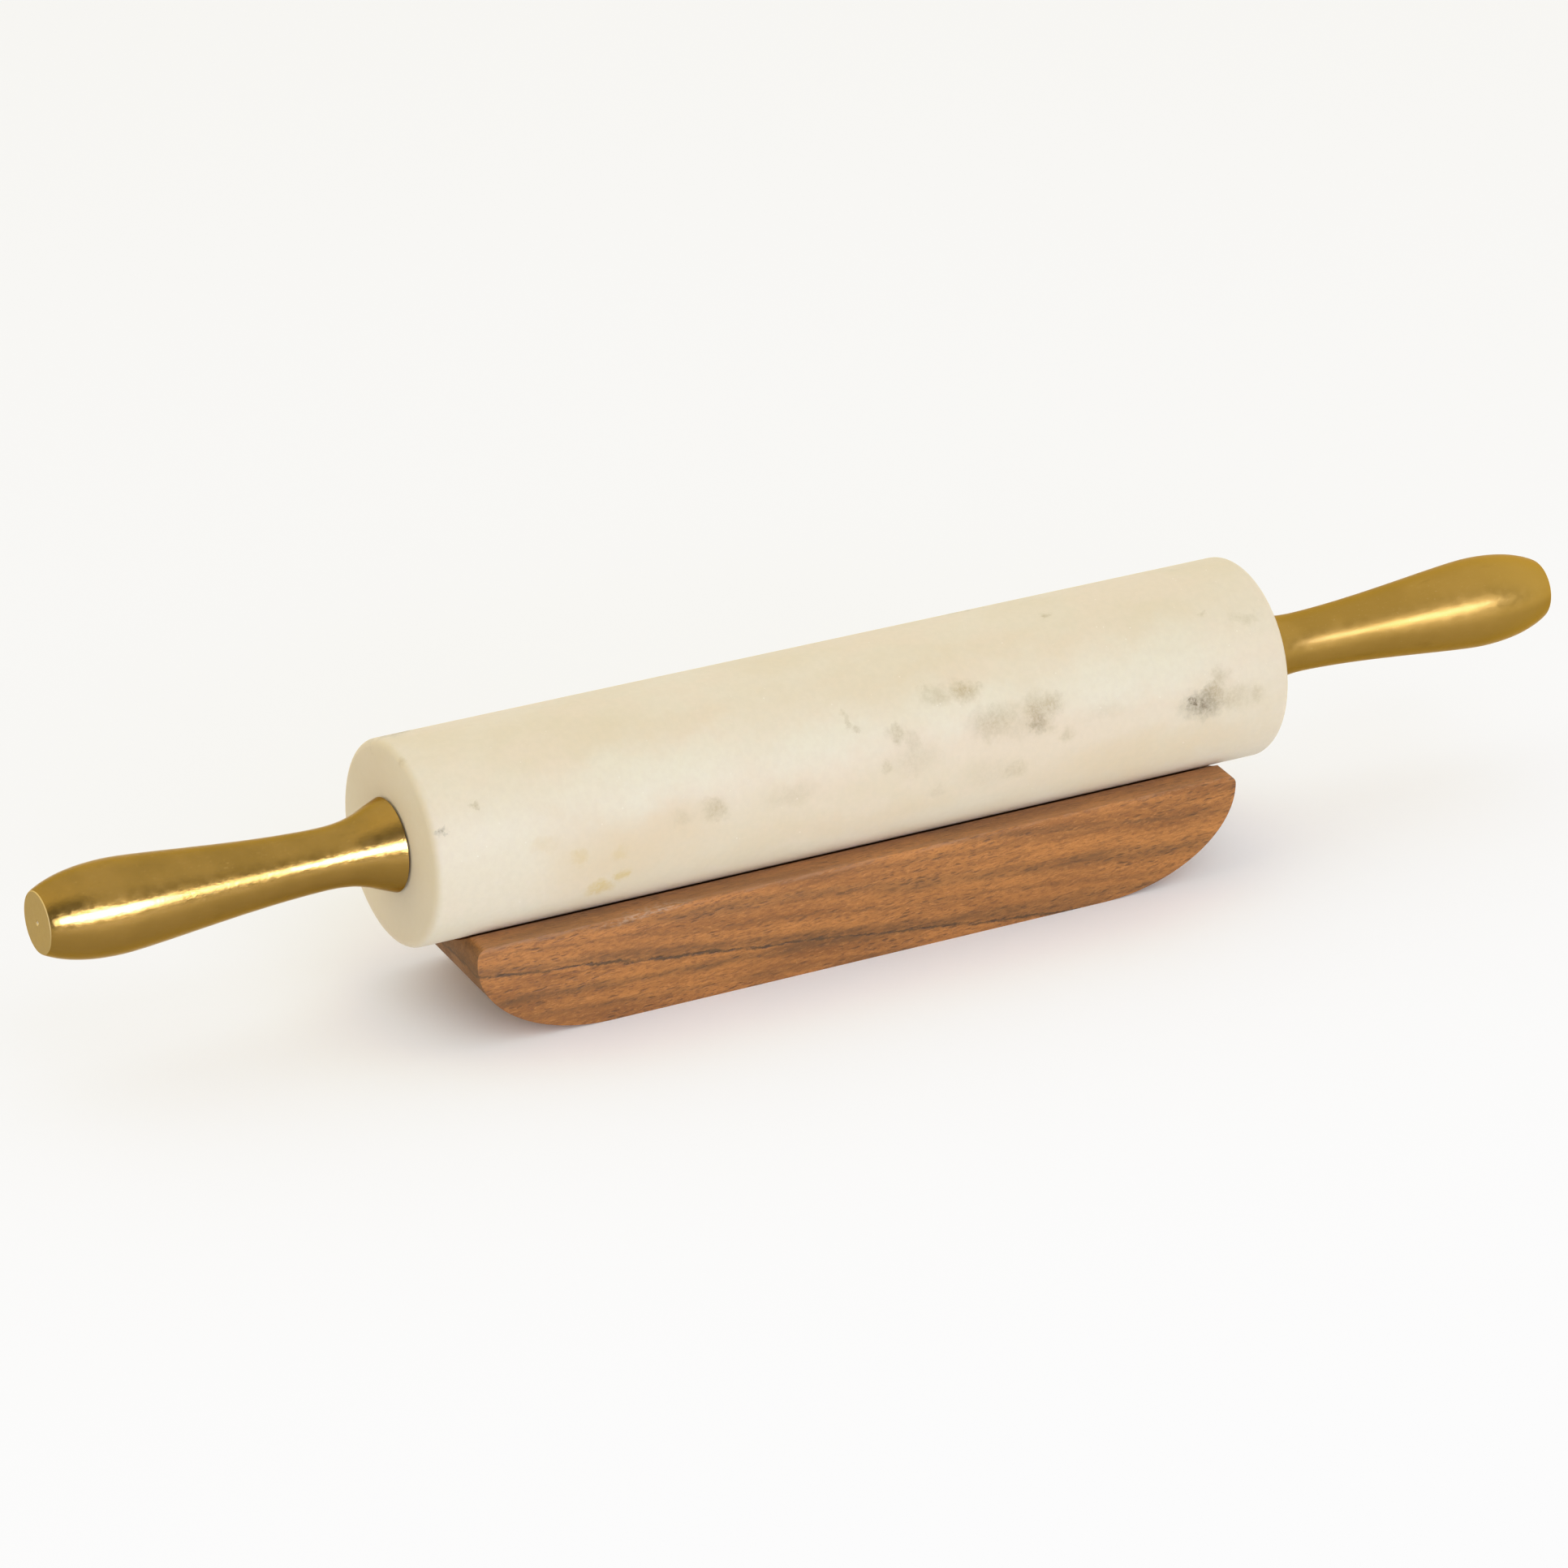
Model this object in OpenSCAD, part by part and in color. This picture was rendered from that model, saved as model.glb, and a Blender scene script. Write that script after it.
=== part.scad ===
// Marble rolling pin resting on its wooden cradle.
// The pin lies along X and +Z is up. The origin is the middle of the cradle's flat underside.

/* [Roller] */
// Length of the marble roller
roller_length = 254; // [200:1:300]
// Diameter of the marble roller
roller_diameter = 54.5; // [50:0.5:70]
// Radius of the eased edge round each end face
roller_edge_radius = 2; // [0.5:0.25:4]
// Diameter of the hole drilled right through the marble
roller_hole_diameter = 12; // [11:0.5:14]

/* [Axle] */
// Diameter of the steel rod
axle_diameter = 8; // [6:0.5:9]
// Depth of the threaded socket in each handle
socket_depth = 32; // [15:1:45]
// Radial clearance between the rod's thread and the socket
thread_clearance = 0.03; // [0.02:0.01:0.1]
// Length of the bevel on each end of the rod
axle_bevel = 0.8; // [0.2:0.1:1.5]

/* [Bearings] */
// Diameter of the bush's sleeve, pressed into the marble
bush_diameter = 16; // [15:0.5:19]
// Length of the sleeve behind the flange
bush_length = 16; // [8:1:30]
// Diameter of the flange that lies flush with the end face
flange_diameter = 20; // [19.5:0.5:22]
// Thickness of the flange
flange_thickness = 2; // [1:0.25:4]
// Radial running clearance between the bush and the rod
running_clearance = 0.06; // [0.02:0.01:0.1]
// Thickness of the washer that takes the end thrust
washer_thickness = 1; // [0.6:0.1:2]
// Diameter of the washer
washer_diameter = 16; // [13:0.5:18]
// End play between the washer and the flange
end_play = 0.3; // [0.3:0.05:0.6]

/* [Handles] */
// Length of each handle
handle_length = 97; // [80:0.5:130]
// Diameter of the collar that meets the roller
collar_diameter = 25; // [23:0.1:28]
// Radius of the collar's eased rim
collar_rim_radius = 0.6; // [0.2:0.1:1]
// Gap between the collar and the roller's end face
collar_gap = 0.4; // [0.3:0.05:0.6]
// Diameter of the narrow neck
neck_diameter = 16; // [14:0.1:20]
// Diameter of the swell that fills the palm
swell_diameter = 24.5; // [21:0.5:32]
// Diameter of the flat end
end_diameter = 16; // [10:0.5:20]
// Diameter of the turning centre left in the flat end
centre_mark_diameter = 1.6; // [0.8:0.1:3]

/* [Cradle] */
// Length of the cradle
cradle_length = 227.5; // [150:0.5:250]
// Width of the cradle from front to back
cradle_width = 49; // [44:0.5:70]
// Height of the cradle at its top edges
cradle_height = 30; // [30:0.5:33]
// Thickness of wood left under the middle of the groove
cradle_floor = 24; // [15:0.5:25]
// How much wider across the round groove is than the roller
groove_ease = 3.5; // [1:0.25:6]
// Gap between the roller and the bottom of the groove
seat_gap = 0.3; // [0.3:0.05:0.6]
// Length of the rounding at each lower end
end_rounding_length = 40; // [15:1:60]
// Height of the rounding at each lower end
end_rounding_height = 26; // [10:0.5:26]
// Radius of the rounding at each upper end
upper_end_radius = 3; // [0.5:0.25:3.5]
// Width of the bevel along the long edges
cradle_bevel = 0.6; // [0.2:0.1:1.5]

/* [Hidden] */
$fn = 128;
roller_radius = roller_diameter / 2;
axis_height = cradle_floor + seat_gap + roller_radius;
groove_diameter = roller_diameter + groove_ease;
groove_height = cradle_floor + groove_diameter / 2;
face = roller_length / 2;
handle_start = face + collar_gap;
washer_start = face + end_play;
socket_start = washer_start + washer_thickness;
axle_half = handle_start + socket_depth;
pocket_clearance = 0.3;
overrun = 1;

// Smooth curve through a list of knots, which starts at the second knot
function between(a, b, c, d, t) =
    0.5 * ((2 * b) + (c - a) * t + (2 * a - 5 * b + 4 * c - d) * t * t
    + (3 * b - a - 3 * c + d) * t * t * t);
function smooth(knots, steps) =
    [for (i = [1 : len(knots) - 3], s = [0 : steps - 1])
        between(knots[i - 1], knots[i], knots[i + 1], knots[i + 2], s / steps)];

// Handle outline as [radius, distance from the collar's face]
function flare(share) = (neck_diameter + share * (collar_diameter - neck_diameter)) / 2;
function swell(share) = (neck_diameter + share * (swell_diameter - neck_diameter)) / 2;
function tip(share) = (end_diameter + share * (swell_diameter - end_diameter)) / 2;
handle_knots = [
    [flare(1.3), -0.04 * handle_length],
    [flare(1), 0],
    [flare(0.67), 0.04 * handle_length],
    [flare(0.34), 0.08 * handle_length],
    [flare(0.1), 0.125 * handle_length],
    [flare(0), 0.19 * handle_length],
    [swell(0.08), 0.3 * handle_length],
    [swell(0.27), 0.42 * handle_length],
    [swell(0.52), 0.54 * handle_length],
    [swell(0.79), 0.66 * handle_length],
    [swell(0.965), 0.75 * handle_length],
    [swell(1), 0.805 * handle_length],
    [tip(0.93), 0.86 * handle_length],
    [tip(0.76), 0.91 * handle_length],
    [tip(0.52), 0.95 * handle_length],
    [tip(0.26), 0.98 * handle_length],
    [tip(0), handle_length],
    [tip(-0.3), handle_length],
];

module along_axle() {
    translate([0, 0, axis_height])
    rotate([0, 90, 0])
        children();
}

module on_side(side) {
    mirror([side < 0 ? 1 : 0, 0, 0]) children();
}

module cradle() {
    color("sienna")
    difference() {
        intersection() {
            rotate([90, 0, 0])
            linear_extrude(cradle_width, center = true)
                cradle_front();
            rotate([90, 0, 90])
            linear_extrude(cradle_length, center = true)
                cradle_section();
        }
        translate([0, 0, groove_height])
        rotate([0, 90, 0])
            cylinder(h = cradle_length + 2 * overrun, d = groove_diameter, center = true);
    }
}

// Front view, with a long rounding at the lower ends and a small one above
module cradle_front() {
    half = cradle_length / 2;
    lower = [for (a = [0 : 2.5 : 90])
        [half - end_rounding_length * (1 - sin(a)), end_rounding_height * (1 - cos(a))]];
    upper = [for (a = [0 : 10 : 90])
        [half - upper_end_radius * (1 - cos(a)),
         cradle_height - upper_end_radius * (1 - sin(a))]];
    right = concat(lower, upper);
    left = [for (i = [len(right) - 1 : -1 : 0]) [-right[i][0], right[i][1]]];
    polygon(concat(right, left));
}

// Section across the cradle, with bevelled long edges
module cradle_section() {
    half = cradle_width / 2;
    polygon([
        [-half + cradle_bevel, 0], [half - cradle_bevel, 0],
        [half, cradle_bevel], [half, cradle_height - cradle_bevel],
        [half - cradle_bevel, cradle_height], [-half + cradle_bevel, cradle_height],
        [-half, cradle_height - cradle_bevel], [-half, cradle_bevel],
    ]);
}

module roller() {
    color("ivory")
    along_axle()
    difference() {
        rotate_extrude() roller_section();
        cylinder(h = roller_length + 2 * overrun, d = roller_hole_diameter, center = true);
        for (side = [-1, 1]) mirror([0, 0, side < 0 ? 1 : 0]) {
            translate([0, 0, face - flange_thickness - bush_length])
                cylinder(h = bush_length + flange_thickness + overrun, d = bush_diameter);
            translate([0, 0, face - flange_thickness])
                cylinder(h = flange_thickness + overrun, d = flange_diameter);
        }
    }
}

module roller_section() {
    straight = face - roller_edge_radius;
    union() {
        translate([0, -face]) square([roller_radius - roller_edge_radius, 2 * face]);
        translate([0, -straight]) square([roller_radius, 2 * straight]);
        for (side = [-1, 1])
            translate([roller_radius - roller_edge_radius, side * straight])
                circle(roller_edge_radius);
    }
}

module bush(side) {
    color("white")
    on_side(side)
    along_axle()
    difference() {
        union() {
            translate([0, 0, face - flange_thickness - bush_length])
                cylinder(h = bush_length + flange_thickness, d = bush_diameter);
            translate([0, 0, face - flange_thickness])
                cylinder(h = flange_thickness, d = flange_diameter);
        }
        translate([0, 0, face - flange_thickness - bush_length - overrun])
            cylinder(h = bush_length + flange_thickness + 2 * overrun,
                     d = axle_diameter + 2 * running_clearance);
    }
}

module axle() {
    small = axle_diameter / 2 - axle_bevel;
    color("silver")
    along_axle()
    union() {
        cylinder(h = 2 * (axle_half - axle_bevel), d = axle_diameter, center = true);
        for (side = [-1, 1]) mirror([0, 0, side < 0 ? 1 : 0])
            translate([0, 0, axle_half - axle_bevel])
                cylinder(h = axle_bevel, r1 = axle_diameter / 2, r2 = small);
    }
}

module washer(side) {
    color("gainsboro")
    on_side(side)
    along_axle()
    translate([0, 0, washer_start])
    difference() {
        cylinder(h = washer_thickness, d = washer_diameter);
        translate([0, 0, -overrun])
            cylinder(h = washer_thickness + 2 * overrun, d = axle_diameter + 2 * thread_clearance);
    }
}

module handle(side) {
    pocket_diameter = washer_diameter + 2 * pocket_clearance;
    color("goldenrod")
    on_side(side)
    along_axle()
    translate([0, 0, handle_start])
    difference() {
        intersection() {
            rotate_extrude() handle_section();
            rotate_extrude() collar_rim();
        }
        translate([0, 0, -overrun])
            cylinder(h = socket_depth + overrun, d = axle_diameter + 2 * thread_clearance);
        translate([0, 0, -overrun])
            cylinder(h = socket_start - handle_start + overrun, d = pocket_diameter);
        translate([0, 0, handle_length - centre_mark_diameter / 2])
            cylinder(h = centre_mark_diameter / 2, r1 = 0, r2 = centre_mark_diameter / 2);
    }
}

module handle_section() {
    polygon(concat([[0, 0]], smooth(handle_knots, 6), [[end_diameter / 2, handle_length]],
                   [[0, handle_length]]));
}

// Wide blank whose near end carries the rounding of the collar's rim
module collar_rim() {
    rim = collar_diameter / 2 - collar_rim_radius;
    union() {
        square([rim, handle_length]);
        translate([0, collar_rim_radius]) square([swell_diameter, handle_length]);
        translate([rim, collar_rim_radius]) circle(collar_rim_radius);
    }
}

cradle();
roller();
bush(-1);  // left_bush
bush(1);  // right_bush
axle();
washer(-1);  // left_washer
washer(1);  // right_washer
handle(-1);  // left_handle
handle(1);  // right_handle
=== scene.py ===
"""Looks for a marble rolling pin that lies in a wooden cradle. Lengths are in metres."""

import math

import bpy
from mathutils import Matrix, Vector


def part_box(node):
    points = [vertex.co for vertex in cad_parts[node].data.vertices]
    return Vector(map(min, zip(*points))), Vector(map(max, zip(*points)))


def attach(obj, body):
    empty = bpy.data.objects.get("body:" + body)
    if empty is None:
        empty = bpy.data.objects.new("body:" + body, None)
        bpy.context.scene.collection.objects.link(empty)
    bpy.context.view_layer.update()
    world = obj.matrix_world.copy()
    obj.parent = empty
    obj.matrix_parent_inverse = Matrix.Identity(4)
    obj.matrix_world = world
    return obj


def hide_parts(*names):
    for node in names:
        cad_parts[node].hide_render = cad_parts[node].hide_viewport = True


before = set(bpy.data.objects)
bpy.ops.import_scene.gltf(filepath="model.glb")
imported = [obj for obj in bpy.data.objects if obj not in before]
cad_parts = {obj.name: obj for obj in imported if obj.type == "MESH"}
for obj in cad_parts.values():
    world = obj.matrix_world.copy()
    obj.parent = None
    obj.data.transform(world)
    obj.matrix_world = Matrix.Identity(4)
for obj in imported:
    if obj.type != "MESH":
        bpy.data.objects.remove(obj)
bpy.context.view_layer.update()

MM = 0.001

# Pin and cradle
ROLLER_RADIUS = 27.25 * MM
AXIS_HEIGHT = 51.55 * MM
CRADLE_LENGTH = 227.5 * MM
CRADLE_WIDTH = 49 * MM
CRADLE_HEIGHT = 30 * MM
CRADLE_FLOOR = 24 * MM
GROOVE_RADIUS = 29 * MM
END_ROUNDING_LENGTH = 40 * MM
END_ROUNDING_HEIGHT = 26 * MM
UPPER_END_RADIUS = 3 * MM
SANDED_EDGE = 0.7 * MM
SANDED_ANGLE = math.radians(28)
SMOOTH_ANGLE = math.radians(25)
WORN_RIDGE = 2.2 * MM
GROOVE_SIDES = 160
CUTTER_OVERHANG = 10 * MM
HAIR = 0.01 * MM

# Camera, fitted to the photo
PHOTO_SIDE = 1932
FOCAL_PIXELS = 8943.5
SENSOR = 36.0
AZIMUTH = math.radians(-30.36)
ELEVATION = math.radians(28.25)
ROLL = math.radians(2.8)
DISTANCE = 1.9
SHIFT_RIGHT = -10.8 * MM
SHIFT_UP = -9.7 * MM

# Room: a pale room with a dark wall in front, which has a gap, and a warm wall on the left
ROOM_LIGHT = (1.06, 1.05, 1.03)
DARK_WALL = (0.36, 0.355, 0.34)
DARK_WALL_WAY = Vector((-0.3, -0.95, 0.1))
DARK_WALL_EDGE = (0.12, 0.72)
GAP_LEFT_EDGE = (0.0, 0.15)
GAP_RIGHT_EDGE = (0.3, 0.5)
DARK_IN_GAP = 0.1
WARM_WALL = (1.36, 1.28, 1.04)
WARM_WALL_WAY = Vector((-0.95, 0.1, 0.3))
WARM_WALL_EDGE = (0.0, 0.85)

# Lights: place, width, height, power. Softboxes light the matt surfaces, tubes show in the shine
LIGHT_AIM = (0, 0, 0.05)
WHITE_LIGHT = (1, 1, 1)
SOFTBOXES = {
    "key_softbox": ((-0.1, -1.05, 1.1), 1.2, 1.0, 3.9),
    "front_softbox": ((-0.12, -0.86, 0.36), 1.05, 0.24, 1.6),
    "side_softbox": ((0.66, -0.78, 0.34), 0.42, 0.2, 0.35),
}
COOL_TUBE = (0.92, 1.0, 1.9)
TUBES = {
    "front_tube": ((-0.12, -0.85, 0.345), 1.0, 0.185, 19),
    "side_tube": ((0.53, -0.8, 0.36), 0.24, 0.06, 0.7),
}

# Strong light is held back, as a film does: light in, light shown
FILM_SHOULDER = [(0.35, 0.35), (0.7, 0.7), (0.95, 0.93), (1.4, 0.97), (2.4, 0.99)]
FILM_REACH = 8.0

FLOOR_SIDE = 40
PALE_PAPER = ((0.9, 0.905, 0.92), (0.92, 0.925, 0.94))
PAPER_ROUGHNESS = 0.85


# Camera and light

def photo_camera():
    back = Vector((math.sin(AZIMUTH) * math.cos(ELEVATION),
                   -math.cos(AZIMUTH) * math.cos(ELEVATION),
                   math.sin(ELEVATION)))
    level = Vector((math.cos(AZIMUTH), math.sin(AZIMUTH), 0))
    upright = back.cross(level)
    right = level * math.cos(ROLL) + upright * math.sin(ROLL)
    up = upright * math.cos(ROLL) - level * math.sin(ROLL)
    data = bpy.data.cameras.new("photo_camera")
    data.sensor_width = SENSOR
    data.lens = FOCAL_PIXELS * SENSOR / PHOTO_SIDE
    camera = bpy.data.objects.new("photo_camera", data)
    bpy.context.scene.collection.objects.link(camera)
    camera.matrix_world = Matrix((right, up, back)).transposed().to_4x4()
    middle = Vector((0, 0, AXIS_HEIGHT))
    camera.location = middle + back * DISTANCE + right * SHIFT_RIGHT + up * SHIFT_UP
    bpy.context.scene.camera = camera


def hang_light(name, place, width, height, power, colour, in_shine):
    """A flat light that either lights the matt surfaces or shows in the shine, never both."""
    data = bpy.data.lights.new(name, "AREA")
    data.shape = "RECTANGLE"
    data.size = width
    data.size_y = height
    data.energy = power
    data.color = colour
    light = bpy.data.objects.new(name, data)
    light.location = place
    away = Vector(place) - Vector(LIGHT_AIM)
    light.rotation_euler = away.to_track_quat("Z", "Y").to_euler()
    light.visible_camera = False
    light.visible_glossy = in_shine
    light.visible_diffuse = not in_shine
    bpy.context.scene.collection.objects.link(light)


def room():
    world = bpy.data.worlds.new("studio")
    bpy.context.scene.world = world
    world.use_nodes = True
    tree = world.node_tree
    way = step(tree, "TexCoord").outputs["Generated"]
    toward_dark = vectors(tree, "DOT_PRODUCT", way, DARK_WALL_WAY, "Value")
    dark = fade(tree, toward_dark, *DARK_WALL_EDGE)
    sideways = axes(tree, way)["X"]
    beside_gap = stronger(tree, fade(tree, sideways, *GAP_LEFT_EDGE, 1, DARK_IN_GAP),
                          fade(tree, sideways, *GAP_RIGHT_EDGE, DARK_IN_GAP, 1))
    dark = product(tree, dark, beside_gap)
    toward_warm = vectors(tree, "DOT_PRODUCT", way, WARM_WALL_WAY, "Value")
    walls = tint(tree, fade(tree, toward_warm, *WARM_WALL_EDGE), ROOM_LIGHT, WARM_WALL)
    walls = tint(tree, dark, walls, DARK_WALL)
    tree.links.new(walls, tree.nodes["Background"].inputs["Color"])


def film():
    settings = bpy.context.scene.view_settings
    settings.view_transform = "Standard"
    settings.use_curve_mapping = True
    settings.curve_mapping.use_clip = False
    settings.curve_mapping.clip_max_x = FILM_REACH
    response = settings.curve_mapping.curves[3].points
    response[-1].location = (FILM_REACH, 1.0)
    for light, shown in FILM_SHOULDER:
        response.new(light, shown)
    settings.curve_mapping.update()


def studio():
    room()
    for name, light in SOFTBOXES.items():
        hang_light(name, *light, WHITE_LIGHT, in_shine=False)
    for name, light in TUBES.items():
        hang_light(name, *light, COOL_TUBE, in_shine=True)
    film()


# Steps that every recipe uses

def step(tree, kind, inputs=None, **settings):
    made = tree.nodes.new("ShaderNode" + kind)
    for name, value in settings.items():
        setattr(made, name, value)
    for name, value in (inputs or {}).items():
        if isinstance(value, bpy.types.NodeSocket):
            tree.links.new(value, made.inputs[name])
        else:
            made.inputs[name].default_value = value
    return made


def recipe(name):
    material = bpy.data.materials.new(name)
    material.use_nodes = True
    tree = material.node_tree
    shader = tree.nodes["Principled BSDF"]
    place = step(tree, "TexCoord").outputs["Object"]
    return material, tree, shader, place


def maths(tree, operation, first, second=None):
    inputs = {0: first} if second is None else {0: first, 1: second}
    return step(tree, "Math", inputs, operation=operation).outputs[0]


def product(tree, first, second):
    return maths(tree, "MULTIPLY", first, second)


def stronger(tree, first, second):
    return maths(tree, "MAXIMUM", first, second)


def vectors(tree, operation, first, second=None, output="Vector"):
    inputs = {0: first} if second is None else {0: first, 1: second}
    return step(tree, "VectorMath", inputs, operation=operation).outputs[output]


def axes(tree, vector):
    return step(tree, "SeparateXYZ", {0: vector}).outputs


def surface_facing(tree):
    return axes(tree, step(tree, "TexCoord").outputs["Normal"])


def turned(tree, place, scale=(1, 1, 1), tilt=(0, 0, 0), shift=(0, 0, 0)):
    return step(tree, "Mapping", {"Vector": place, "Scale": scale, "Rotation": tilt,
                                  "Location": shift}).outputs[0]


def noise(tree, place, scale, detail=2.0, roughness=0.5, output="Fac"):
    return step(tree, "TexNoise", {"Vector": place, "Scale": scale, "Detail": detail,
                                   "Roughness": roughness}).outputs[output]


def cells(tree, place, scale):
    """Small cells: how far each point is from its cell's middle, and a chance per cell."""
    made = step(tree, "TexVoronoi", {"Vector": place, "Scale": scale}, feature="F1")
    return made.outputs["Distance"], axes(tree, made.outputs["Color"])["X"]


def fade(tree, value, start, end, low=0.0, high=1.0):
    return step(tree, "MapRange", {"Value": value, "From Min": start, "From Max": end,
                                   "To Min": low, "To Max": high},
                interpolation_type="SMOOTHSTEP").outputs[0]


def tint(tree, amount, under, over):
    mixed = step(tree, "Mix", {"Factor": amount}, data_type="RGBA")
    sockets = [s for s in mixed.inputs if s.type == "RGBA"]
    for socket, colour in zip(sockets, (under, over)):
        if isinstance(colour, bpy.types.NodeSocket):
            tree.links.new(colour, socket)
        else:
            socket.default_value = (*colour, 1)
    return next(s for s in mixed.outputs if s.type == "RGBA")


def relief(tree, shader, height, depth, strength=1.0):
    bump = step(tree, "Bump", {"Height": height, "Distance": depth, "Strength": strength})
    tree.links.new(bump.outputs[0], shader.inputs["Normal"])


def wander(tree, place, scale, far):
    """The same place, pushed about by noise, so that an outline is ragged."""
    pull = noise(tree, place, scale, detail=4, roughness=0.65, output="Color")
    pull = vectors(tree, "SUBTRACT", pull, (0.5, 0.5, 0.5))
    pull = step(tree, "VectorMath", {0: pull, "Scale": far}, operation="SCALE").outputs[0]
    return vectors(tree, "ADD", place, pull)


def dress(node, material):
    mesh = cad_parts[node].data
    mesh.materials.clear()
    mesh.materials.append(material)


# Marble

# Marks and clouds: mm along the pin, degrees up from the front, half length and half width
# in mm, depth of colour
GREY_MARKS = [
    (96.3, 10, 2.1, 2.0, 0.9),
    (99.5, 8.5, 3.0, 2.4, 0.62),
    (99, 8, 7.5, 4.8, 0.48),
    (48.8, 20, 3, 4.4, 0.24),
    (-124, 32, 1.8, 1.4, 0.5),
]
DUSTY_MARKS = [
    (103, 14, 4.5, 3, 0.44),
    (105, 21, 3.5, 4, 0.32),
    (108, 9, 9, 4, 0.27),
    (117, 6, 3.4, 3, 0.27),
    (-47.5, 11, 4.4, 4, 0.36),
    (36.5, 25, 9.5, 5.5, 0.35),
    (32, 27, 2.6, 2, 0.24),
    (49, 23, 5, 7, 0.42),
    (53.5, 28, 4, 3, 0.42),
    (43, 20, 7, 4.4, 0.18),
    (29.5, 45, 5, 3.5, 0.45),
    (33, 45, 2.6, 2, 0.3),
    (21.5, 46, 5.5, 3.8, 0.28),
    (19.5, 52, 2.4, 1.6, 0.3),
    (7, 30, 2.8, 2.6, 0.38),
    (11, 24, 4, 3.4, 0.2),
    (12, 14, 8, 5, 0.16),
    (3, 13, 2.2, 2, 0.3),
    (-6.5, 42.5, 1.3, 2.8, 0.3),
    (-4.2, 36.5, 2.6, 1.5, 0.3),
    (57.5, 9, 3, 3, 0.26),
    (69, 17, 8, 3, 0.1),
    (41.5, -6, 4, 2.8, 0.24),
    (18.5, -8, 3, 2, 0.16),
    (63, 83, 2.6, 1.6, 0.42),
    (106, 59, 2, 1.5, 0.25),
    (117, 52, 6, 2, 0.18),
    (34, -4, 10, 5, 0.1),
    (-25, 10, 9, 3.5, 0.15),
    (-57, 10, 4.5, 3, 0.16),
    (-113, 42, 1.8, 1.6, 0.4),
    (-127, 79, 1.8, 1.4, 0.25),
]
YELLOW_MARKS = [
    (-96, 13, 5, 2.4, 0.16),
    (-79.5, -24, 4.0, 2.8, 0.6),
    (-73.8, -17, 2.8, 2.6, 0.55),
    (-75, -3, 3.4, 2, 0.22),
    (-87, 0, 2.6, 2.4, 0.3),
]
# Painted sheen: whiter clouds in a band along the front of the pin, where the light falls most.
PAINTED_SHEEN_CLOUDS = [
    (-112, 10, 30, 30, 0.6),
    (-62, 38, 46, 10, 0.8),
    (-14, 32, 38, 9, 0.8),
    (28, 34, 30, 7, 0.7),
    (82, 38, 46, 11, 0.85),
    (88, 8, 22, 6, 0.25),
]
# Beige clouds. The first is a beige patch of the marble itself; the long narrow ones along the
# top and the bottom are painted shade, where the pin turns away from the light.
BEIGE_PATCHES_AND_PAINTED_SHADE = [
    (-74, -2, 34, 13, 0.75),
    (-50, 66, 34, 5, 0.3),
    (30, 62, 60, 5, 0.3),
    (84, -20, 52, 9, 0.75),
    (-6, -16, 44, 7, 0.55),
]
MARK_CORE = 0.1
MARK_RIM = 1.25

CREAM = ((0.683, 0.604, 0.443), (0.702, 0.642, 0.502))
BLUSH = (0.713, 0.626, 0.482)
BEIGE_AND_PAINTED_SHADE = (0.678, 0.565, 0.388)
PAINTED_SHEEN_WHITE = (0.708, 0.677, 0.544)
MOTTLE = (0.56, 0.5, 0.37)
RIM_CREAM = (0.68, 0.565, 0.385)
RIM_START = 125.5 * MM
RIM_END = 127 * MM
DUSTY = (0.38, 0.285, 0.135)
GREY = (0.18, 0.142, 0.085)
YELLOW = (0.58, 0.42, 0.12)
CRYSTAL = (0.9, 0.87, 0.8)
# The side that the photo hides starts behind the axis
FAR_SIDE = (4 * MM, 14 * MM)
HONED_ROUGHNESS = (0.52, 0.6)
MARBLE_GLOW = 0.2
MARBLE_GLOW_COLOURS = (1.0, 0.8, 0.55)
MARBLE_GLOW_DEPTH = 1.2 * MM
MARBLE_SHINE = 0.12


def marks(tree, place, listed):
    total = None
    for along, round_deg, length, width, depth in listed:
        angle = math.radians(round_deg)
        middle = (along * MM, -ROLLER_RADIUS * math.cos(angle),
                  AXIS_HEIGHT + ROLLER_RADIUS * math.sin(angle))
        away = vectors(tree, "SUBTRACT", place, middle)
        share = vectors(tree, "DIVIDE", away, (length * MM, width * MM, width * MM))
        reach = vectors(tree, "LENGTH", share, output="Value")
        one = fade(tree, reach, MARK_CORE, MARK_RIM, depth, 0.0)
        total = one if total is None else stronger(tree, total, one)
    return total


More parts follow.
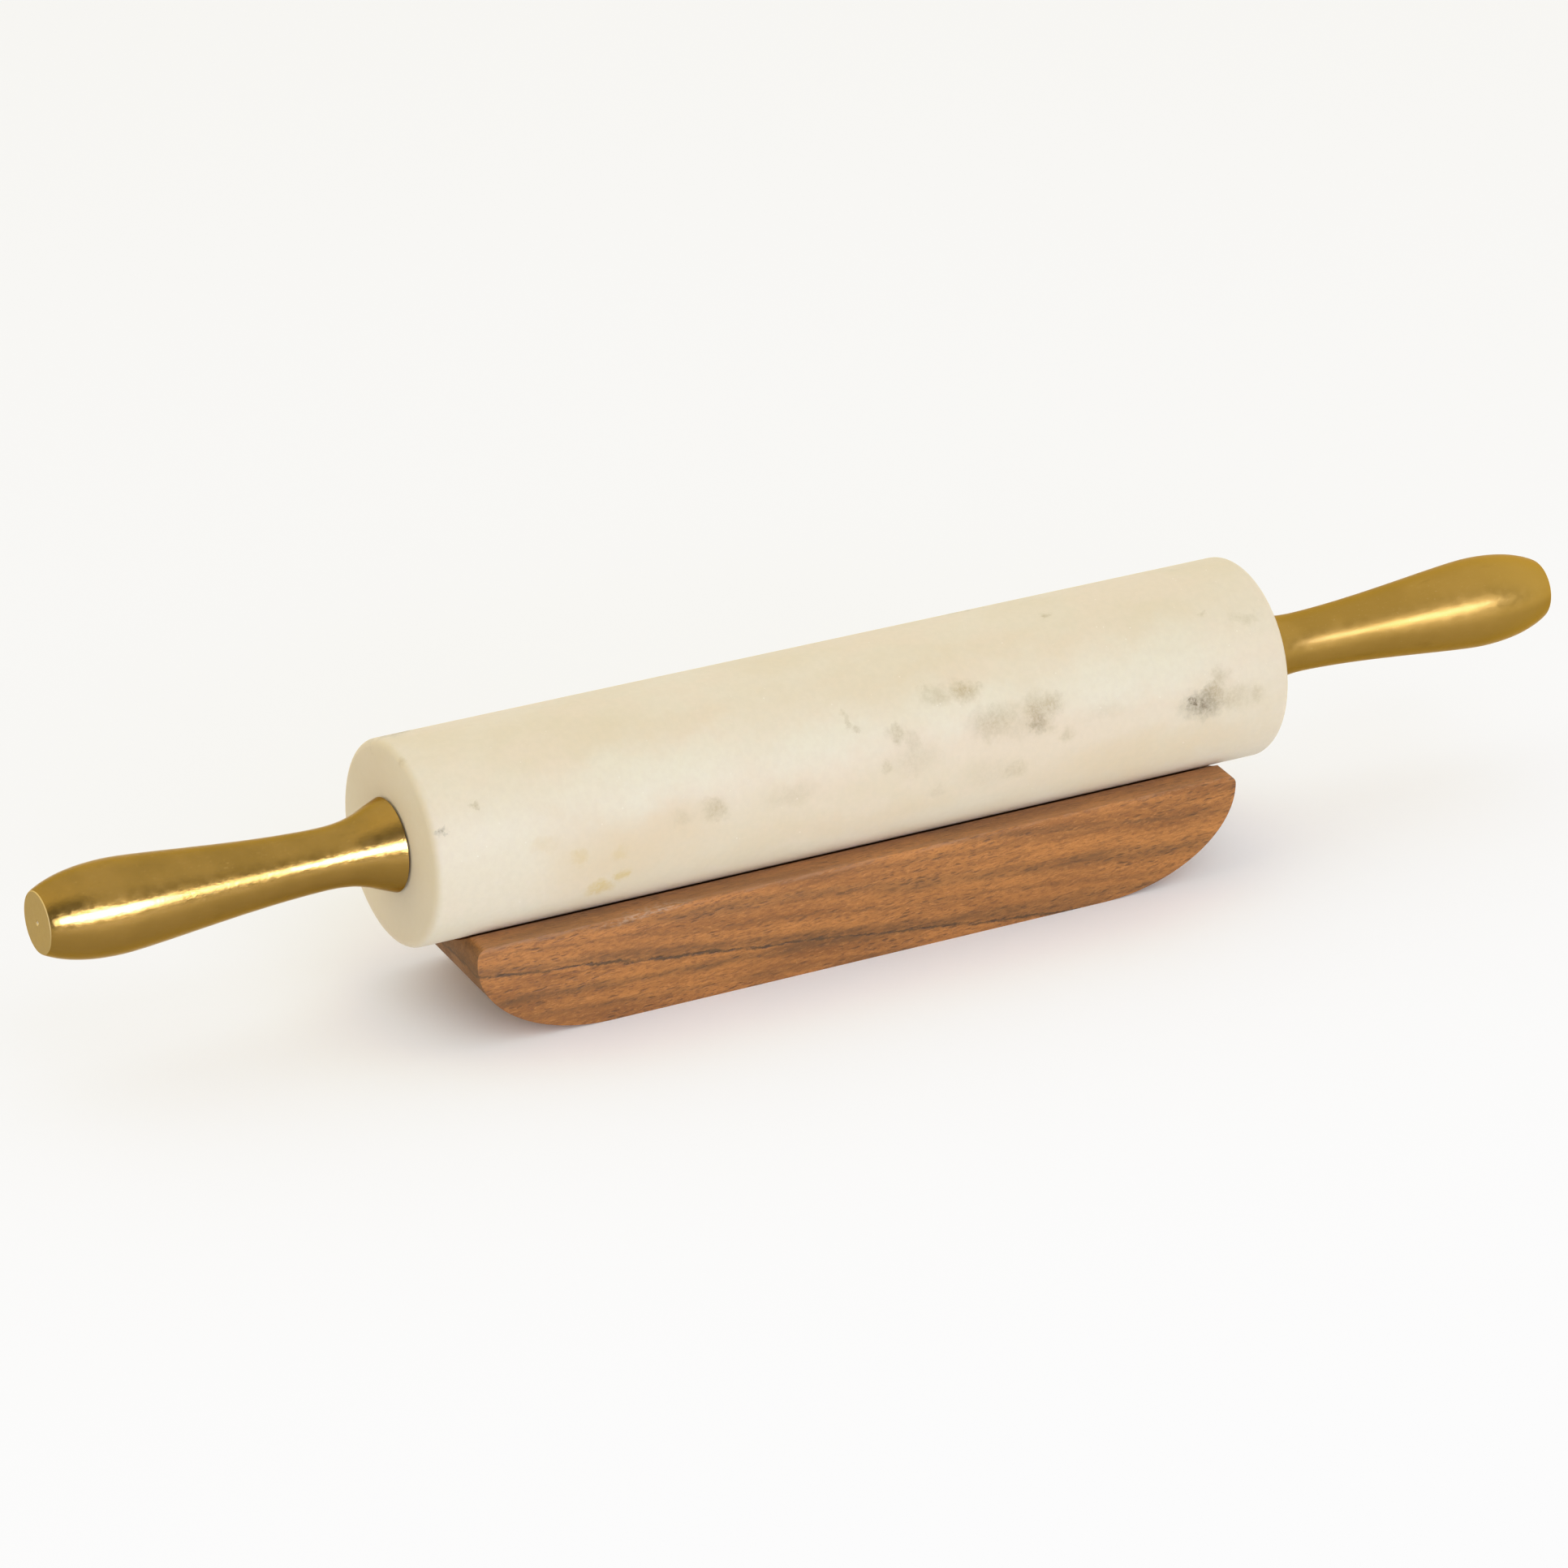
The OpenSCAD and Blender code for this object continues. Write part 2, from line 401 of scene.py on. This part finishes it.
def marble_ground(tree, place):
    """Cream with a drift, a blush, the large clouds and a fine mottle. The white clouds are a
    painted sheen along the lit front, and the long beige clouds along the top and the bottom are
    painted shade.
    """
    drift = noise(tree, turned(tree, place, (0.6, 1, 1)), 26, detail=4, roughness=0.6)
    blush = noise(tree, turned(tree, place, (0.7, 1, 1), shift=(0.4, 0.1, 0.7)), 48,
                  detail=4, roughness=0.6)
    ground = tint(tree, fade(tree, drift, 0.36, 0.64), *CREAM)
    ground = tint(tree, fade(tree, blush, 0.42, 0.6, high=0.7), ground, BLUSH)
    cloudy = wander(tree, place, 50, 22 * MM)
    # Beige patches, and painted shade along the top and the bottom of the pin.
    ground = tint(tree, marks(tree, cloudy, BEIGE_PATCHES_AND_PAINTED_SHADE), ground, BEIGE_AND_PAINTED_SHADE)
    # Painted sheen along the lit front of the pin.
    ground = tint(tree, marks(tree, cloudy, PAINTED_SHEEN_CLOUDS), ground, PAINTED_SHEEN_WHITE)
    mottle = noise(tree, place, 520, detail=4, roughness=0.65)
    ground = tint(tree, fade(tree, mottle, 0.3, 0.7, high=0.14), ground, MOTTLE)
    to_rim = maths(tree, "ABSOLUTE", axes(tree, place)["X"])
    return tint(tree, fade(tree, to_rim, RIM_START, RIM_END, high=0.5), ground, RIM_CREAM)


def far_clouds(tree, place, loose):
    """Guessed grey clouds on the side that the photo hides."""
    clouds = noise(tree, turned(tree, loose, (0.8, 1, 1), shift=(0.9, 0.3, 0.2)), 60,
                   detail=4, roughness=0.6)
    clouds = fade(tree, clouds, 0.6, 0.76, high=0.5)
    return product(tree, clouds, fade(tree, axes(tree, place)["Y"], *FAR_SIDE))


def marble_veins(tree, place, ground):
    loose = wander(tree, wander(tree, place, 170, 8 * MM), 620, 3.2 * MM)
    speckle = noise(tree, place, 950, detail=4, roughness=0.75)
    speckle = fade(tree, speckle, 0.34, 0.64, 0.72, 1.36)
    grey = product(tree, marks(tree, loose, GREY_MARKS), speckle)
    grey = stronger(tree, grey, product(tree, far_clouds(tree, place, loose), speckle))
    dusty = product(tree, marks(tree, loose, DUSTY_MARKS), speckle)
    colour = tint(tree, dusty, ground, DUSTY)
    colour = tint(tree, grey, colour, GREY)
    return tint(tree, marks(tree, loose, YELLOW_MARKS), colour, YELLOW)


def crystals(tree, place, colour):
    """Small bright points, more of them in some places than in others."""
    distance, chance = cells(tree, place, 1100)
    bright = product(tree, fade(tree, distance, 0.3, 0.1), fade(tree, chance, 0.96, 0.985))
    gathered = fade(tree, noise(tree, place, 70), 0.48, 0.62, 0.06, 0.5)
    return tint(tree, product(tree, bright, gathered), colour, CRYSTAL)


def marble():
    material, tree, shader, place = recipe("cream_marble")
    colour = marble_veins(tree, place, marble_ground(tree, place))
    tree.links.new(crystals(tree, place, colour), shader.inputs["Base Color"])
    hone = fade(tree, noise(tree, place, 90, detail=3), 0.3, 0.7, *HONED_ROUGHNESS)
    tree.links.new(hone, shader.inputs["Roughness"])
    shader.inputs["Subsurface Weight"].default_value = MARBLE_GLOW
    shader.inputs["Subsurface Radius"].default_value = MARBLE_GLOW_COLOURS
    shader.inputs["Subsurface Scale"].default_value = MARBLE_GLOW_DEPTH
    shader.inputs["Specular IOR Level"].default_value = MARBLE_SHINE
    relief(tree, shader, noise(tree, place, 1400), 0.01 * MM, 0.5)
    return material


# Brass finish

# The left handle has the brighter finish and the deeper pits
BRASS = {
    "left": {"colours": ((0.28, 0.163, 0.027), (0.33, 0.193, 0.036)),
             "roughness": (0.17, 0.26), "coat": 0.2, "coat roughness": 0.1,
             "pitting": 0.6, "relief": 0.5},
    # Painted light: the right handle's colours are a lighter copy of the left's brass, for the
    # brighter light on that side.
    "right": {"colours": ((0.34, 0.2, 0.034), (0.39, 0.232, 0.043)),
              "roughness": (0.285, 0.37), "coat": 0.12, "coat roughness": 0.2,
              "pitting": 0.12, "relief": 0.4},
}
BRASS_EDGE_TINT = (0.85, 0.65, 0.35, 1)
SWIRL = (0.23, 0.13, 0.018)
SPECKS = (0.5, 0.34, 0.11)
# Painted light: a lighter brass for the tip of the right handle, where the tip turns up to the
# light.
PAINTED_TIP_LIGHT = (0.47, 0.285, 0.05)
FLAT_END = (0.68, 0.52, 0.2)
FLAT_END_ROUGHER = 0.35
# Painted highlight: a bright spot at the turning centre of each flat end.
PAINTED_CENTRE_HIGHLIGHT = (1.0, 0.95, 0.8)
# Painted shade: a darker brass for the faces that turn down.
PAINTED_UNDERSIDE_SHADE = (0.2, 0.112, 0.016)
CAST_DEPTH = 0.16 * MM


def handle_end(side):
    low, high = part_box(side + "_handle")
    return abs(low[0] if side == "left" else high[0])


def distance_off_axis(tree, place):
    away = vectors(tree, "SUBTRACT", place, (0, 0, AXIS_HEIGHT))
    across = vectors(tree, "MULTIPLY", away, (0, 1, 1))
    return vectors(tree, "LENGTH", across, output="Value")


def brass(side):
    finish = BRASS[side]
    end = handle_end(side)
    material, tree, shader, place = recipe(side + "_brass")
    out = maths(tree, "ABSOLUTE", axes(tree, place)["X"])
    patches = noise(tree, place, 60, detail=3, roughness=0.55)
    colour = tint(tree, fade(tree, patches, 0.35, 0.68), *finish["colours"])
    swirl = noise(tree, turned(tree, place, (0.3, 1, 1)), 300, detail=4, roughness=0.65)
    colour = tint(tree, fade(tree, swirl, 0.56, 0.76, high=0.35), colour, SWIRL)
    specks = noise(tree, turned(tree, place, (0.6, 1, 1)), 1500, detail=3, roughness=0.7)
    colour = tint(tree, fade(tree, specks, 0.6, 0.75, high=0.4), colour, SPECKS)
    # Painted light: the right handle is made lighter towards its tip, which turns up to the
    # light.
    if side == "right":
        painted_light = fade(tree, out, end - 36 * MM, end - 6 * MM, high=0.75)
        colour = tint(tree, painted_light, colour, PAINTED_TIP_LIGHT)
    flat = fade(tree, out, end - 0.3 * MM, end - 0.1 * MM)
    colour = tint(tree, product(tree, flat, 0.9), colour, FLAT_END)
    # Painted highlight: a bright spot at the turning centre of the flat end.
    off_axis = distance_off_axis(tree, place)
    centre_highlight = product(tree, fade(tree, off_axis, 0.7 * MM, 0.4 * MM, high=0.6),
                     fade(tree, out, end - 2 * MM, end - MM))
    colour = tint(tree, centre_highlight, colour, PAINTED_CENTRE_HIGHLIGHT)
    # Painted shade: the brass darkens where it faces down, below the highlight.
    under = fade(tree, surface_facing(tree)["Z"], 0.36, 0.0, high=0.5)
    colour = tint(tree, under, colour, PAINTED_UNDERSIDE_SHADE)
    tree.links.new(colour, shader.inputs["Base Color"])
    shader.inputs["Metallic"].default_value = 1.0
    satin = fade(tree, noise(tree, place, 420, detail=3), 0.3, 0.7, *finish["roughness"])
    satin = maths(tree, "ADD", satin, product(tree, flat, FLAT_END_ROUGHER))
    tree.links.new(satin, shader.inputs["Roughness"])
    shader.inputs["Specular Tint"].default_value = BRASS_EDGE_TINT
    shader.inputs["Coat Weight"].default_value = finish["coat"]
    shader.inputs["Coat Roughness"].default_value = finish["coat roughness"]
    uneven = noise(tree, turned(tree, place, (0.5, 1, 1)), 240, detail=4, roughness=0.6)
    pitted = noise(tree, turned(tree, place, (0.6, 1, 1)), 1100, detail=4, roughness=0.7)
    cast = maths(tree, "ADD", uneven, product(tree, pitted, finish["pitting"]))
    relief(tree, shader, cast, CAST_DEPTH, finish["relief"])
    return material


# Wood

# Dark growth lines: height at the middle in mm, slope, half width in mm, depth of colour
WOOD_SEAMS = [
    (8.0, -0.118, 0.8, 0.85),
    (9.4, -0.118, 2.8, 0.38),
    (21.2, -0.1, 3.0, 0.4),
    (22.5, -0.1, 0.8, 0.3),
    (7.4, -0.05, 2.4, 0.45),
    (15.5, -0.11, 0.7, 0.25),
    (27.5, -0.06, 1.3, 0.2),
    (0.5, -0.06, 1.6, 0.25),
    (33, -0.12, 1.2, 0.3),
]
FIBRE_TILT = (0, math.radians(5), 0)
LAYER_TILT = (0, math.radians(-6), 0)
BANDS = ((0.265, 0.106, 0.022), (0.47, 0.195, 0.045))
WARM_DRIFT = (0.54, 0.228, 0.053)
FINE_FIBRE = (0.205, 0.088, 0.023)
DARK_FLECKS = (0.2, 0.084, 0.026)
LIGHT_FLECKS = (0.6, 0.27, 0.075)
SEAM = (0.105, 0.06, 0.02)
SEAM_WAVE = 6 * MM
SEAM_FRAY = 1.6 * MM
PORE = (0.1, 0.052, 0.015)
END_GRAIN = (0.135, 0.078, 0.036)
# Painted light: a lighter tone for the faces that turn up.
PAINTED_TOP_LIGHT = (0.5, 0.29, 0.16)
# Painted highlight: a lighter tone along the top ridges.
PAINTED_RIDGE_HIGHLIGHT = (0.5, 0.27, 0.13)
RIDGE_HEIGHT = (28.2 * MM, 29.4 * MM)
RIDGE_SIDE = (22.2 * MM, 23.6 * MM)
WORN_SPOT = (0.52, 0.4, 0.27)
WORN_SPOT_AT = (-62 * MM, -24 * MM, 35 * MM)
WORN_SPOT_SIZE = (20 * MM, 3 * MM, 1.8 * MM)
OILED_ROUGHNESS = (0.72, 0.58)
OILED_SHINE = 0.17
PORE_DEPTH = 0.15 * MM


def seam(tree, high, along, wave, start, slope, half_width, depth):
    line = maths(tree, "SUBTRACT", high, start * MM)
    line = maths(tree, "SUBTRACT", line, product(tree, along, slope))
    line = maths(tree, "ABSOLUTE", maths(tree, "ADD", line, wave))
    return fade(tree, line, 0.1 * half_width * MM, half_width * MM, depth, 0.0)


def wood_seams(tree, place, fibre):
    parts = axes(tree, place)
    wobble = noise(tree, turned(tree, place, (0.25, 1, 1)), 100, detail=4, roughness=0.65)
    wave = product(tree, maths(tree, "SUBTRACT", wobble, 0.5), SEAM_WAVE)
    frayed = maths(tree, "SUBTRACT", noise(tree, fibre, 700, detail=3, roughness=0.7), 0.5)
    wave = maths(tree, "ADD", wave, product(tree, frayed, SEAM_FRAY))
    total = None
    for listed in WOOD_SEAMS:
        one = seam(tree, parts["Z"], parts["X"], wave, *listed)
        total = one if total is None else stronger(tree, total, one)
    return total


def dashes(tree, fibre, scale, share, seldom):
    """Short open pores that lie along the fibres."""
    distance, chance = cells(tree, turned(tree, fibre, (share, 1, 1)), scale)
    return product(tree, fade(tree, distance, 0.4, 0.18),
                   fade(tree, chance, seldom, seldom + 0.15))


def open_pores(tree, fibre, layer, seams):
    """Pores that crowd in some layers and in the seams."""
    pores = stronger(tree, dashes(tree, fibre, 1150, 0.17, 0.25),
                     product(tree, dashes(tree, fibre, 1700, 0.22, 0.35), 0.7))
    crowd = noise(tree, turned(tree, layer, (0.2, 1, 1)), 120, detail=3)
    crowd = fade(tree, crowd, 0.36, 0.6, 0.15, 1)
    return product(tree, pores, stronger(tree, crowd, product(tree, seams, 2)))


def worn_spot(tree, place, fibre):
    away = vectors(tree, "SUBTRACT", fibre, WORN_SPOT_AT)
    reach = vectors(tree, "LENGTH", vectors(tree, "DIVIDE", away, WORN_SPOT_SIZE),
                    output="Value")
    scratches = noise(tree, turned(tree, place, (0.4, 1, 1)), 1600, detail=3)
    return product(tree, fade(tree, reach, 0.2, 1, 0.45, 0),
                   fade(tree, scratches, 0.42, 0.62))


def wood():
    material, tree, shader, place = recipe("oiled_wood")
    fibre = turned(tree, wander(tree, place, 120, 2.2 * MM), tilt=FIBRE_TILT)
    layer = turned(tree, wander(tree, place, 60, 3 * MM), tilt=LAYER_TILT)
    bands = noise(tree, turned(tree, layer, (0.07, 1, 1)), 170, detail=4, roughness=0.65)
    fine = noise(tree, turned(tree, fibre, (0.09, 1, 1)), 800, detail=4, roughness=0.7)
    slow = noise(tree, turned(tree, layer, (0.3, 1, 1)), 50)
    flecks = noise(tree, turned(tree, fibre, (0.22, 1, 1)), 2000, detail=3, roughness=0.7)
    colour = tint(tree, fade(tree, bands, 0.36, 0.64), *BANDS)
    colour = tint(tree, fade(tree, slow, 0.35, 0.7, high=0.55), colour, WARM_DRIFT)
    colour = tint(tree, fade(tree, fine, 0.46, 0.7, high=0.5), colour, FINE_FIBRE)
    colour = tint(tree, fade(tree, flecks, 0.5, 0.66, high=0.6), colour, DARK_FLECKS)
    colour = tint(tree, fade(tree, flecks, 0.46, 0.32, high=0.45), colour, LIGHT_FLECKS)
    seams = wood_seams(tree, place, fibre)
    broken = product(tree, seams, fade(tree, fine, 0.3, 0.6, 0.5, 1.15))
    colour = tint(tree, broken, colour, SEAM)
    pores = open_pores(tree, fibre, layer, seams)
    colour = tint(tree, product(tree, pores, 0.65), colour, PORE)
    facing = surface_facing(tree)
    endways = maths(tree, "ABSOLUTE", facing["X"])
    colour = tint(tree, fade(tree, endways, 0.35, 0.8, high=0.6), colour, END_GRAIN)
    # Painted light: faces that turn up are made lighter, for light falling on the top.
    colour = tint(tree, fade(tree, facing["Z"], 0.8, 0.98, high=0.3), colour, PAINTED_TOP_LIGHT)
    parts = axes(tree, place)
    off_middle = maths(tree, "ABSOLUTE", parts["Y"])
    # Painted highlight: a lighter, broken band along the two top ridges.
    near_ridge = product(tree, fade(tree, parts["Z"], *RIDGE_HEIGHT),
                         fade(tree, off_middle, *RIDGE_SIDE))
    painted_light = product(tree, near_ridge, fade(tree, fine, 0.4, 0.65, high=0.4))
    colour = tint(tree, painted_light, colour, PAINTED_RIDGE_HIGHLIGHT)
    colour = tint(tree, worn_spot(tree, place, fibre), colour, WORN_SPOT)
    tree.links.new(colour, shader.inputs["Base Color"])
    oiled = fade(tree, bands, 0.3, 0.7, *OILED_ROUGHNESS)
    tree.links.new(oiled, shader.inputs["Roughness"])
    shader.inputs["Specular IOR Level"].default_value = OILED_SHINE
    grain = maths(tree, "SUBTRACT", product(tree, fine, 0.6), pores)
    relief(tree, shader, grain, PORE_DEPTH, 0.6)
    return material


# Bearings

NYLON = ((0.72, 0.71, 0.66), (0.8, 0.79, 0.75))
NYLON_ROUGHNESS = (0.35, 0.48)
STEEL = ((0.46, 0.46, 0.47), (0.6, 0.6, 0.61))
STEEL_ROUGHNESS = (0.22, 0.36)


def nylon():
    material, tree, shader, place = recipe("white_nylon")
    cloud = noise(tree, place, 180)
    colour = tint(tree, fade(tree, cloud, 0.35, 0.65), *NYLON)
    tree.links.new(colour, shader.inputs["Base Color"])
    matt = fade(tree, cloud, 0.3, 0.7, *NYLON_ROUGHNESS)
    tree.links.new(matt, shader.inputs["Roughness"])
    relief(tree, shader, noise(tree, place, 900), 0.02 * MM, 0.4)
    return material


def turned_steel():
    material, tree, shader, place = recipe("turned_steel")
    rings = noise(tree, turned(tree, place, (6, 0.4, 0.4)), 500, detail=3)
    colour = tint(tree, fade(tree, rings, 0.35, 0.65), *STEEL)
    tree.links.new(colour, shader.inputs["Base Color"])
    shader.inputs["Metallic"].default_value = 1.0
    bright = fade(tree, rings, 0.3, 0.7, *STEEL_ROUGHNESS)
    tree.links.new(bright, shader.inputs["Roughness"])
    relief(tree, shader, rings, 0.01 * MM, 0.4)
    return material


# Pieces

def all_apart():
    """Leaves edit mode and selects nothing."""
    if bpy.context.object and bpy.context.object.mode != "OBJECT":
        bpy.ops.object.mode_set(mode="OBJECT")
    bpy.ops.object.select_all(action="DESELECT")


def bevel_edges(piece, axis, beyond, inside, offset, segments):
    """Rounds the edges that lie at either end along an axis, where both points pass."""
    bpy.context.view_layer.objects.active = piece
    bpy.ops.object.mode_set(mode="EDIT")
    bpy.ops.mesh.select_mode(type="EDGE")
    bpy.ops.mesh.select_all(action="DESELECT")
    bpy.ops.object.mode_set(mode="OBJECT")
    mesh = piece.data
    for edge in mesh.edges:
        a, b = [mesh.vertices[v].co for v in edge.vertices]
        edge.select = a[axis] * b[axis] > 0 and all(
            abs(v[axis]) > beyond and inside(v) for v in (a, b))
    bpy.ops.object.mode_set(mode="EDIT")
    bpy.ops.mesh.bevel(offset=offset, segments=segments, profile=0.5, affect="EDGES")


def finish_with(piece, name, kind, **settings):
    modifier = piece.modifiers.new(name, kind)
    for key, value in settings.items():
        setattr(modifier, key, value)
    bpy.context.view_layer.objects.active = piece
    bpy.ops.object.modifier_apply(modifier=name)


def cut_groove(block):
    all_apart()
    bpy.ops.mesh.primitive_cylinder_add(vertices=GROOVE_SIDES, radius=GROOVE_RADIUS,
                                        depth=CRADLE_LENGTH + CUTTER_OVERHANG,
                                        location=(0, 0, CRADLE_FLOOR + GROOVE_RADIUS),
                                        rotation=(0, math.pi / 2, 0))
    cutter = bpy.context.object
    finish_with(block, "groove", "BOOLEAN", operation="DIFFERENCE", solver="EXACT",
                object=cutter)
    bpy.data.objects.remove(cutter)


def cradle_block():
    all_apart()
    # The lower ends are rounded in a taller block, which is then pressed to its height
    stretch = END_ROUNDING_LENGTH / END_ROUNDING_HEIGHT
    tall = CRADLE_HEIGHT * stretch
    bpy.ops.mesh.primitive_cube_add(size=1, location=(0, 0, tall / 2),
                                    scale=(CRADLE_LENGTH, CRADLE_WIDTH, tall))
    block = bpy.context.object
    block.name = "cradle_block"
    bpy.ops.object.transform_apply(location=True, rotation=True, scale=True)
    end_at = CRADLE_LENGTH / 2 - HAIR
    side_at = CRADLE_WIDTH / 2 - HAIR
    top_at = CRADLE_HEIGHT - HAIR
    bevel_edges(block, 0, end_at, lambda v: v.z < MM, END_ROUNDING_LENGTH, segments=28)
    bpy.ops.mesh.select_all(action="SELECT")
    bpy.ops.transform.resize(value=(1, 1, 1 / stretch), center_override=(0, 0, 0))
    bevel_edges(block, 0, end_at, lambda v: v.z > top_at, UPPER_END_RADIUS, segments=8)
    cut_groove(block)
    bevel_edges(block, 1, side_at, lambda v: v.z > top_at, WORN_RIDGE, segments=5)
    bpy.ops.object.mode_set(mode="OBJECT")
    finish_with(block, "sanded", "BEVEL", width=SANDED_EDGE, segments=3,
                limit_method="ANGLE", angle_limit=SANDED_ANGLE)
    all_apart()
    block.select_set(True)
    bpy.context.view_layer.objects.active = block
    bpy.ops.object.shade_smooth_by_angle(angle=SMOOTH_ANGLE)
    return block


def floor():
    all_apart()
    bpy.ops.mesh.primitive_plane_add(size=FLOOR_SIDE, location=(0, 0, 0))
    sheet = bpy.context.object
    sheet.name = "floor"
    material, tree, shader, place = recipe("pale_paper")
    colour = tint(tree, noise(tree, place, 2, detail=1), *PALE_PAPER)
    tree.links.new(colour, shader.inputs["Base Color"])
    shader.inputs["Roughness"].default_value = PAPER_ROUGHNESS
    sheet.data.materials.append(material)


photo_camera()
studio()
floor()

dress("roller", marble())
for side in ("left", "right"):
    dress(side + "_handle", brass(side))
    dress(side + "_bush", nylon())
    dress(side + "_washer", turned_steel())
dress("axle", turned_steel())
block = cradle_block()
block.data.materials.append(wood())
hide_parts("cradle")
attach(block, "cradle")
